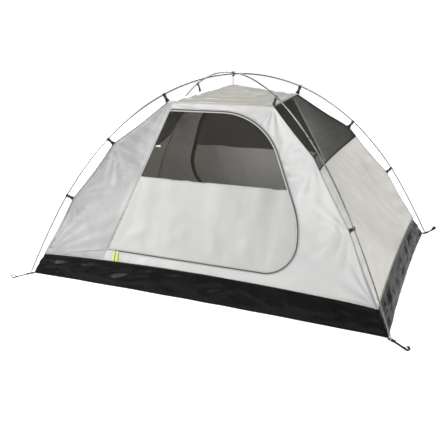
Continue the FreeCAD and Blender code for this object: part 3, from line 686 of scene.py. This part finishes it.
def doorFolds(across, rise, seed):
    sag = doorWrinkle["sag"] * waver(across * 2.4, rise * 1.6, seed)
    sag += doorWrinkle["smallSag"] * waver(across * 9, rise * 2.2, seed + 2)
    fade = math.exp(-abs(rise - door["sill"]) / doorWrinkle["creaseReach"])
    sway = 5 * waver(across * 3, rise, seed)
    creases = doorWrinkle["crease"] * math.sin(across * 62 + rise * 5 + sway)
    creases *= fade * (0.5 + waver(across * 4, 1, seed))
    hang = doorWrinkle["hang"] * math.sin(across * 30 + 6 * waver(across * 2, rise * 0.7, seed + 4))
    return sag + creases + hang


def doorSheet(side, part, low, high, material, seed):
    inner, marks = zipPath(-doorEdge, door["hingeGap"])
    cuts = inner[marks[2]::-1]
    edge = [p for p in cuts if low < p.y < high]
    ends = []
    for rise in (low, high):
        for a, b in zip(cuts, cuts[1:]):
            if a.y <= rise <= b.y and b.y > a.y:
                ends.append(a.lerp(b, (rise - a.y) / (b.y - a.y)))
                break
    if low <= inner[-1].y:
        edge.insert(0, Vector((cuts[0].x, inner[-1].y)))
    else:
        edge.insert(0, ends[0])
    if high < inner[0].y:
        edge.append(ends[-1])
    else:
        edge.append(Vector((cuts[-1].x if cuts[-1].y >= inner[0].y else inner[36].x, inner[0].y)))
    columns = 100
    rows = []
    maps = []
    for place in edge:
        start = hingeAcross(place.y, door["hingeGap"])
        row = []
        line = []
        for j in range(columns + 1):
            share = j / columns
            across = start + (place.x - start) * share
            near = min(share, 1 - share) * (place.x - start)
            near = min(near, place.y - door["sill"], door["head"] - place.y)
            fade = smooth((near - 0.012) / 0.06)
            out = doorFolds(across, place.y, seed) * fade
            row.append(turned(onPlane(frontPlane, across, place.y, out), side))
            line.append((across, place.y))
        rows.append(row)
        maps.append(line)
    piece = sheetMesh(f"{side}_{part}", rows, material, False, shell["cloth"], maps)
    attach(piece, side + "_door")
    return piece


def ribbon(name, lines, material, thickness):
    # flat strip whose long edges and ridges are the given lines
    return sheetMesh(name, lines, material, False, thickness)


zipParts = {
    "ridge": 0.0042, "edgeOut": 0.0004, "ridgeOut": 0.0016, "tapeOut": 0.0014, "tapeThick": 0.0008,
    "coilPlace": 0.0026, "coilOut": 0.0008, "coilRadius": 0.0024, "sillClear": 0.01, "endClear": 0.045,
}


def zipHalf(side, half):
    # tape sewn to the cloth, and the half of the coil that stands along its free edge
    way = 1 if half == "wall" else -1
    beside = door["hingeGap"] + 0.001
    profile = [(door["gap"], zipParts["edgeOut"]), (zipParts["ridge"], zipParts["ridgeOut"]),
               (door["tape"], zipParts["tapeOut"])]
    lines = []
    for grow, out in profile:
        path = zipPath(way * grow, beside)[0]
        lines.append([turned(onPlane(frontPlane, p.x, p.y, out), side) for p in path])
    if way < 0:
        lines.reverse()
    tape = ribbon(f"{side}_zip_{half}_tape", lines, look["tape"], zipParts["tapeThick"])
    path = zipPath(way * zipParts["coilPlace"], beside)[0]
    firstRise = door["sill"] + zipParts["sillClear"]
    firstAcross = door["hingeFoot"] + zipParts["endClear"]
    path = [p for p in path if p.y > firstRise or p.x > firstAcross]
    line = [turned(onPlane(frontPlane, p.x, p.y, zipParts["coilOut"]), side) for p in path]
    coil = tube(f"{side}_zip_{half}_coil", line, zipParts["coilRadius"], 8, look["coil"])
    body = "root" if half == "wall" else side + "_door"
    for piece in (tape, coil):
        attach(piece, body)
    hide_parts(f"{side}_zip_{half}")


def hingeSeam(side):
    # folded seam the door turns on
    line = []
    for i in range(121):
        rise = 0.070 + (door["head"] - 0.045) * i / 120
        line.append(turned(onPlane(frontPlane, hingeAcross(rise), rise, 0.0002), side))
    return tube(f"{side}_hinge_seam", line, 0.0018, 10, look["hinge"])


for side, seed in (("front", 1.0), ("rear", 21.0)):
    wallSheet(side, seed)
    cloth = doorSheet(side, "door_cloth", 0, door["seam"], look["door"], seed + 3)
    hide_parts(side + "_door_panel")
    # the rear door's darker net is painted shade
    netLook = look["net" if side == "front" else "denseNet"]
    net = doorSheet(side, "door_net", door["seam"], 2, netLook, seed + 6)
    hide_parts(side + "_door_mesh")
    for half in ("wall", "door"):
        zipHalf(side, half)


def zipFlap(side):
    # dark flap behind the curved run of the zip, on the inside
    lines = []
    for grow, out in ((-0.012, -0.0050), (0.002, -0.0042), (0.016, -0.0050)):
        path, marks = zipPath(grow, door["hingeGap"])
        run = path[marks[0] - 30:marks[2]]
        lines.append([turned(onPlane(frontPlane, p.x, p.y, out), side) for p in run])
    piece = ribbon(side + "_zip_flap", lines, look["flap"], 0.0008)
    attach(piece, "root")


zipFlap("rear")
seams = [hingeSeam(side) for side in ("front", "rear")]
for piece in seams:
    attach(piece, "root")
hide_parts("door_hinge_seams")
print("walls and doors made")


# end walls

def endRow(q, columns, bow=None):
    # one row across an end wall at the place q on its corner seams
    across, rise, out = inPlane(endPlane, cornerPoint(q))
    row = []
    for j in range(columns + 1):
        share = 2 * j / columns - 1
        lift = 0 if bow is None else bow * endBow(share * across)
        row.append((share * across, rise + lift, out * abs(share) ** 2.1))
    return row


endWrinkle = {
    "slack": 0.0120, "smallSlack": 0.0056, "crease": 0.0040,
    "hang": 0.0028, "hangReach": 0.09, "pull": 0.0040, "pullReach": 0.12,
}


def endFolds(across, rise, edge, seamRise, seed):
    fold = endWrinkle["slack"] * waver(across * 2.5, rise * 2, seed)
    fold += endWrinkle["smallSlack"] * waver(across * 9, rise * 4, seed + 2)
    fold += endWrinkle["crease"] * abs(waver(across * 14 + rise * 9, rise * 6, seed + 3))
    down = math.exp(-abs(rise - seamRise) / endWrinkle["hangReach"])
    sway = 5 * waver(across * 4, rise * 2, seed)
    fold += endWrinkle["hang"] * down * math.sin(across * 58 + sway)
    pull = endWrinkle["pull"] * math.exp(-edge / endWrinkle["pullReach"])
    pull *= math.sin(rise * 55 + across * 16)
    return fold + pull


def endSheet(side, part, first, last, count, material, seed):
    columns = 110
    rows = []
    maps = []
    seamRise = inPlane(endPlane, cornerPoint(netStart))[1]
    for i in range(count + 1):
        q = first + (last - first) * i / count
        row = []
        line = []
        for across, rise, out in endRow(q, columns, max(0, 1 - q) ** 3):
            edge = abs(inPlane(endPlane, cornerPoint(q))[0]) - abs(across)
            fade = smooth(edge / 0.03) * smooth(rise / 0.05)
            fade *= smooth(i / 3) * smooth((count - i) / 3)
            out += endFolds(across, rise, edge, seamRise, seed) * fade
            row.append(turned(onPlane(endPlane, across, rise, out), side))
            line.append((across, rise))
        rows.append(row)
        maps.append(line)
    piece = sheetMesh(f"{side}_end_{part}", rows, material, False, shell["cloth"], maps)
    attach(piece, "root")
    return piece


lowClip = shell["levels"][1][1]
middleClip = shell["levels"][2][1]
netStart = 1 + (shell["netSeam"] - lowClip) / (middleClip - lowClip)
for side, seed in (("right", 41.0), ("left", 61.0)):
    piece = endSheet(side, "cloth", 0, netStart, 64, look["end"], seed)
    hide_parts(side + "_end_panel")
    # the left end's darker net is painted shade
    netLook = look["net" if side == "right" else "denseNet"]
    piece = endSheet(side, "net", netStart, 3, 34, netLook, seed + 5)
    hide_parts(side + "_end_mesh")
print("end walls made")


# roof

roof = {
    "rings": 26, "sideSteps": 24, "beyond": 0.001, "above": 0.0016, "lip": 0.007,
    "sag": 0.004, "wave": 0.0016, "pleat": 0.0030,
}


def roofHeight(x, y, t, share, long):
    bulge = math.sin(math.pi * share)
    size = 1 - share
    swell = roof["sag"] * math.sin(math.pi * t) * bulge
    wave = roof["wave"] * waver(x * size * 3, y * size * 3, 7.7) * bulge
    pleat = roof["pleat"] * math.sin(share * 34 + 3 * waver(x * 2, y * 2, 4.1))
    pleat *= smooth(share / 0.1) * smooth((0.75 - share) / 0.3) * (1 if long else 0.3)
    edgeHeight = roofEdge + roof["above"]
    return edgeHeight + (peakHeight - edgeHeight) * share ** 1.08 - swell + wave + pleat


def roofSheet():
    count = roof["rings"]
    halfX = roofRatio * halfLength + roof["beyond"]
    halfY = roofRatio * halfWidth + roof["beyond"]
    turns = [(-1, -1), (1, -1), (1, 1), (-1, 1)]
    rows = []
    for i in range(-1, count + 1):
        share = max(i, 0) / count
        size = 1 - share
        ring = []
        for sideStart, sideEnd in zip(turns, turns[1:] + turns[:1]):
            long = sideStart[1] == sideEnd[1]
            for k in range(roof["sideSteps"]):
                t = k / roof["sideSteps"]
                x = sideStart[0] + (sideEnd[0] - sideStart[0]) * t
                y = sideStart[1] + (sideEnd[1] - sideStart[1]) * t
                height = roofHeight(x, y, t, share, long)
                if i < 0:
                    height -= roof["lip"]
                ring.append(Vector((x * halfX * size, y * halfY * size, height)))
        rows.append(ring)
    maps = [[(p.x, p.y) for p in row] for row in rows]
    piece = sheetMesh("roof_cloth", rows, look["roof"], True, 0, maps)
    mendDoubles(piece)
    thicken(piece, shell["cloth"])
    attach(piece, "root")
    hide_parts("roof_panel")


roofSheet()
print("roof made")


# bathtub floor

tub = {
    "skirt": 0.0018, "inBow": 0.017, "sway": 0.003, "floor": 0.0012, "rows": 16, "cloth": 0.0010,
    "crumple": 0.0085, "cornerFold": 0.013, "bulge": 0.008, "piping": 0.0016,
}


def tubLoops():
    # the floor's edge and the seam's edge as two loops with matching points
    low = []
    high = []
    sides = [("front", 150), ("right", 100), ("rear", 150), ("left", 100)]
    for name, count in sides:
        long = name in ("front", "rear")
        half = halfLength if long else halfWidth
        other = halfWidth if long else halfLength
        plane = frontPlane if long else endPlane
        bow = frontBow if long else endBow
        for k in range(count):
            share = 2 * k / count - 1
            inward = tub["inBow"] * (1 - share ** 2) + tub["sway"] * waver(share * 9, other * 5, 1.5)
            inward *= smooth((1 - abs(share)) / 0.03)
            if long:
                flat = Vector((share * half, -(other - inward), tub["floor"]))
            else:
                flat = Vector((other - inward, share * half, tub["floor"]))
            across = share * half * tubRatio
            skirt = tub["skirt"] * smooth((1 - abs(share)) / 0.02)
            seam = onPlane(plane, across, bow(across) - 0.0005, skirt)
            low.append(turned(flat, name))
            high.append(turned(seam, name))
    return low, high


def tubPush(run, share, near):
    # how far the tub's wall stands out: broad dents, sharp crumples and folds out from the corners
    rise = math.sin(math.pi * share)
    dip = 0.8 * waver(run * 4.5 + share * 1.2, share * 2.2, 5.1)
    dip += 0.7 - 2.2 * abs(waver(run * 6 - share * 1.5, share * 2.6, 9.4))
    dip += 0.3 - 0.9 * abs(waver(run * 17 + share * 3, share * 4.4, 2.2))
    fold = abs(math.sin(near * 26 - share * 3.4)) ** 0.7 * math.exp(-near / 0.26)
    push = tub["crumple"] * (dip * 1.1 - 0.35) * rise
    push -= tub["cornerFold"] * fold * rise
    return push + tub["bulge"] * rise * smooth((1.05 - share) / 0.5)


def tubSheet():
    low, high = tubLoops()
    count = len(low)
    rows = []
    maps = []
    run = 0
    runs = []
    for k in range(count):
        runs.append(run)
        run += (low[(k + 1) % count] - low[k]).length
    for i in range(13):
        share = 0.02 + 0.98 * (i / 12) ** 0.7
        rows.append([Vector((p.x * share, p.y * share, tub["floor"])) for p in low])
        maps.append([(p.x * share, p.y * share) for p in low])
    corners = [Vector((x * halfLength, y * halfWidth, 0)) for x in (-1, 1) for y in (-1, 1)]
    for i in range(1, tub["rows"] + 1):
        share = i / tub["rows"]
        row = []
        for k in range(count):
            a, b = low[k], high[k]
            long = abs(a.x) / halfLength < abs(a.y) / halfWidth
            out = yAxis * math.copysign(1, a.y) if long else xAxis * math.copysign(1, a.x)
            place = a.lerp(b, share)
            near = min((place - c).length for c in corners)
            row.append(place + out * tubPush(runs[k], share, near))
        rows.append(row)
        maps.append([(runs[k], share * 0.15) for k in range(count)])
    piece = sheetMesh("tub_cloth", rows, look["tub"], True, 0, maps)
    capCentre(piece)
    thicken(piece, tub["cloth"])
    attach(piece, "root")
    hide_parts("bathtub_floor")
    return high


def capCentre(piece):
    work = bmesh.new()
    work.from_mesh(piece.data)
    work.edges.ensure_lookup_table()
    rims = [e for e in work.edges if e.is_boundary and e.verts[0].co.z < 0.01]
    bmesh.ops.holes_fill(work, edges=rims, sides=0)
    bmesh.ops.recalc_face_normals(work, faces=work.faces)
    work.to_mesh(piece.data)
    work.free()


seamLoop = tubSheet()
pipingLine = [p + up * 0.001 for p in seamLoop]
piping = tube("tub_piping", pipingLine, tub["piping"], 8, look["piping"], True)
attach(piping, "root")
print("bathtub made")


# seam tapes

def cornerTape(name, first, last, width, material, sideX, sideY):
    # narrow flange that stands out along a corner seam
    out = Vector((sideX * 0.8321, sideY * 0.5547, 0)).normalized()
    steps = 90
    lines = [[], []]
    for i in range(steps + 1):
        q = first + (last - first) * i / steps
        place = cornerPoint(q, sideX, sideY)
        before = cornerPoint(max(q - 0.05, 0), sideX, sideY)
        after = cornerPoint(min(q + 0.05, 3), sideX, sideY)
        along = (after - before).normalized()
        normal = (out - along * out.dot(along)).normalized()
        lines[0].append(place - normal * 0.006)
        lines[1].append(place + normal * width)
    piece = ribbon(name, lines, material, 0.0012)
    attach(piece, "root")


def seamStrip(name, plane, first, last, widths, material, side, way):
    # flat strip sewn beside a corner seam, lying on the wall
    steps = 90
    lines = [[], []]
    sideways = 1 if plane is endPlane else -1
    for i in range(steps + 1):
        q = first + (last - first) * i / steps
        place = cornerPoint(q, 1, way) if sideways > 0 else cornerPoint(q, way, -1)
        across, rise, out = inPlane(plane, place)
        width = widths[0] + (widths[1] - widths[0]) * smooth(q - first)
        inner = across - way * width
        lines[0].append(turned(onPlane(plane, across, rise, out + 0.0008), side))
        innerOut = out * (1 - 1.9 * width / abs(across)) + 0.0022
        lines[1].append(turned(onPlane(plane, inner, rise, innerOut), side))
    piece = ribbon(name, lines, material, 0.0008)
    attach(piece, "root")


quarters = [("front_left", -1, -1), ("front_right", 1, -1), ("rear_right", 1, 1), ("rear_left", -1, 1)]
for quarter, sideX, sideY in quarters:
    lowTape = look["binding" if quarter == "rear_left" else "hem"]
    cornerTape(quarter + "_corner_hem", 0, netStart, 0.0035, lowTape, sideX, sideY)
    cornerTape(quarter + "_net_binding", netStart, 3, 0.0040, look["binding"], sideX, sideY)
for side in ("front", "rear"):
    for hand, way in (("left", -1), ("right", 1)):
        seamStrip(f"{side}_{hand}_seam_strip", frontPlane, 0, 2, (0.016, 0.005), look["hem"], side, way)
for side in ("right", "left"):
    for hand, way in (("near", -1), ("far", 1)):
        name = f"{side}_{hand}_net_strip"
        seamStrip(name, endPlane, netStart, 3, (0.009, 0.009), look["binding"], side, way)


def netBinding(side):
    # tape along the seam below the net and along the roof's edge
    for name, q in (("low", netStart), ("high", 2.985)):
        lines = [[], []]
        for across, rise, out in endRow(q, 80):
            for line, shift in zip(lines, (-0.005, 0.005)):
                line.append(turned(onPlane(endPlane, across, rise + shift, out + 0.0014), side))
        piece = ribbon(f"{side}_net_{name}_tape", lines, look["binding"], 0.0010)
        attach(piece, "root")


for side in ("right", "left"):
    netBinding(side)


def doorSeamTape(side):
    lines = [[], []]
    edge = zipPath(-0.012, door["hingeGap"])[0]
    right = max(p.x for p in edge if abs(p.y - door["seam"]) < 0.012)
    for i in range(101):
        start = hingeAcross(door["seam"], door["hingeGap"] + 0.001)
        across = start + (right - start) * i / 100
        for line, shift in zip(lines, (-0.003, 0.003)):
            line.append(turned(onPlane(frontPlane, across, door["seam"] + shift, 0.0012), side))
    piece = ribbon(side + "_window_seam", lines, look["tape"], 0.0008)
    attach(piece, side + "_door")


for side in ("front", "rear"):
    doorSeamTape(side)
print("seams made")


# hardware: bevelled copies of the CAD pieces

def rounded(node, name, material, width, body):
    source = nodes[node]
    piece = source.copy()
    piece.data = source.data.copy()
    piece.name = name
    scene.collection.objects.link(piece)
    piece.parent = None
    piece.matrix_world = Matrix.Identity(4)
    bpy.ops.object.select_all(action="DESELECT")
    bpy.context.view_layer.objects.active = piece
    piece.select_set(True)
    bpy.ops.object.mode_set(mode="EDIT")
    bpy.ops.mesh.select_all(action="SELECT")
    bpy.ops.mesh.remove_doubles(threshold=0.00001)
    bpy.ops.mesh.dissolve_limited(angle_limit=math.radians(1))
    bpy.ops.object.mode_set(mode="OBJECT")
    edge = piece.modifiers.new("edge", "BEVEL")
    edge.width = width
    edge.segments = 2
    edge.limit_method = "ANGLE"
    edge.angle_limit = math.radians(40)
    edge.use_clamp_overlap = True
    bpy.ops.object.modifier_apply(modifier="edge")
    bpy.ops.object.shade_smooth_by_angle(angle=math.radians(45))
    piece.data.materials.clear()
    piece.data.materials.append(material)
    piece.select_set(False)
    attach(piece, body)
    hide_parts(node)
    return piece


# ending of the CAD name: ending of the new name, finish, slot, width of the rounded edges
mouldings = {
    "_clip": ("_moulding", "black", "black_plastic", 0.0005),
    "crown_hook": ("_moulding", "black", "black_plastic", 0.0005),
    "_slider": ("_casting", "sliderMetal", "zip_metal", 0.0003),
    "_pull": ("_tab", "neon", "pull_webbing", 0.0007),
    "_toggle": ("_bar", "white", "white_plastic", 0.0007),
    "_stake_loop": ("_webbing", "webbing", "webbing", 0.0004),
}
for name in list(nodes):
    for ending, (kind, finish, slot, width) in mouldings.items():
        if name.endswith(ending):
            rounded(name, name + kind, look[finish], width, name)
rounded("clip_straps", "clip_strap_webbing", look["webbing"], 0.0003, "root")
rounded("corner_tabs", "corner_tab_webbing", look["webbing"], 0.0003, "root")
for side in ("front", "rear"):
    ties = side + "_door_ties"
    rounded(ties, side + "_tie_fittings", look["black"], 0.0002, side + "_door")

dressed = {
    "pole_a_tubes": "pole", "pole_b_tubes": "pole", "pole_fittings": "fitting",
    "pole_shock_cords": "rubber", "corner_grommets": "grommet", "crown_cord": "cordDark",
}
for name, finish in dressed.items():
    mesh = nodes[name].data
    for k in range(max(1, len(mesh.materials))):
        if len(mesh.materials) <= k:
            mesh.materials.append(look[finish])
        else:
            mesh.materials[k] = look[finish]
print("hardware made")


# stage, light and camera

bpy.ops.mesh.primitive_plane_add(size=40, location=(0, 0, 0))
floor = bpy.context.object
floor.name = "studio_floor"
floorLook, _, floorShader = newMaterial("studioFloor")
floorShader.inputs["Base Color"].default_value = (0.90, 0.90, 0.90, 1)
floorShader.inputs["Roughness"].default_value = 0.9
floorShader.inputs["Emission Color"].default_value = (1, 1, 1, 1)
floorShader.inputs["Emission Strength"].default_value = 0.62
floor.data.materials.append(floorLook)

world = bpy.data.worlds.new("studio")
world.use_nodes = True
worldTree = world.node_tree
ambient = worldTree.nodes["Background"]
ambient.inputs["Color"].default_value = (0.98, 0.99, 1.0, 1)
ambient.inputs["Strength"].default_value = 0.42
backdrop = worldTree.nodes.new("ShaderNodeBackground")
backdrop.inputs["Color"].default_value = (1, 1, 1, 1)
seen = worldTree.nodes.new("ShaderNodeLightPath")
choice = worldTree.nodes.new("ShaderNodeMixShader")
worldTree.links.new(seen.outputs["Is Camera Ray"], choice.inputs["Fac"])
worldTree.links.new(ambient.outputs["Background"], choice.inputs[1])
worldTree.links.new(backdrop.outputs["Background"], choice.inputs[2])
worldTree.links.new(choice.outputs["Shader"], worldTree.nodes["World Output"].inputs["Surface"])
scene.world = world


def softLight(name, place, aim, size, power):
    light = bpy.data.lights.new(name, "AREA")
    light.energy = power
    light.size = size
    light.shape = "DISK"
    lamp = bpy.data.objects.new(name, light)
    scene.collection.objects.link(lamp)
    lamp.location = place
    lamp.rotation_euler = (Vector(aim) - Vector(place)).to_track_quat("-Z", "Y").to_euler()


lights = {
    "keyLight": {"place": (-3.6, -3.2, 3.4), "aim": (0, 0, 0.5), "size": 1.3, "power": 190},
    "sideLight": {"place": (4.2, -0.6, 2.6), "aim": (0, 0, 0.5), "size": 1.3, "power": 70},
    "insideLight": {"place": (0.1, -0.1, 0.35), "aim": (0, 0.8, 0.45), "size": 0.35, "power": 5},
    "rimLight": {"place": (-2.6, 4.6, 2.8), "aim": (0, 0, 0.5), "size": 2.0, "power": 170},
}
for name, values in lights.items():
    softLight(name, **values)
print("lights made")

lens = {
    "place": (1.4626, -3.4489, 1.6284), "azimuth": 24.75, "elevation": 20.29, "roll": -2.18,
    "focal": 47.87,
}
azimuth, elevation, roll = (math.radians(lens[key]) for key in ("azimuth", "elevation", "roll"))
level = math.cos(elevation)
back = Vector((math.sin(azimuth) * level, -math.cos(azimuth) * level, math.sin(elevation)))
right = up.cross(back).normalized()
above = back.cross(right)
rightRolled = right * math.cos(roll) + above * math.sin(roll)
aboveRolled = above * math.cos(roll) - right * math.sin(roll)
cameraData = bpy.data.cameras.new("camera")
cameraData.lens = lens["focal"]
cameraData.sensor_width = 36
camera = bpy.data.objects.new("camera", cameraData)
turn = Matrix((rightRolled, aboveRolled, back)).transposed().to_4x4()
turn.translation = Vector(lens["place"])
camera.matrix_world = turn
scene.collection.objects.link(camera)
scene.camera = camera
scene.view_settings.view_transform = "Standard"
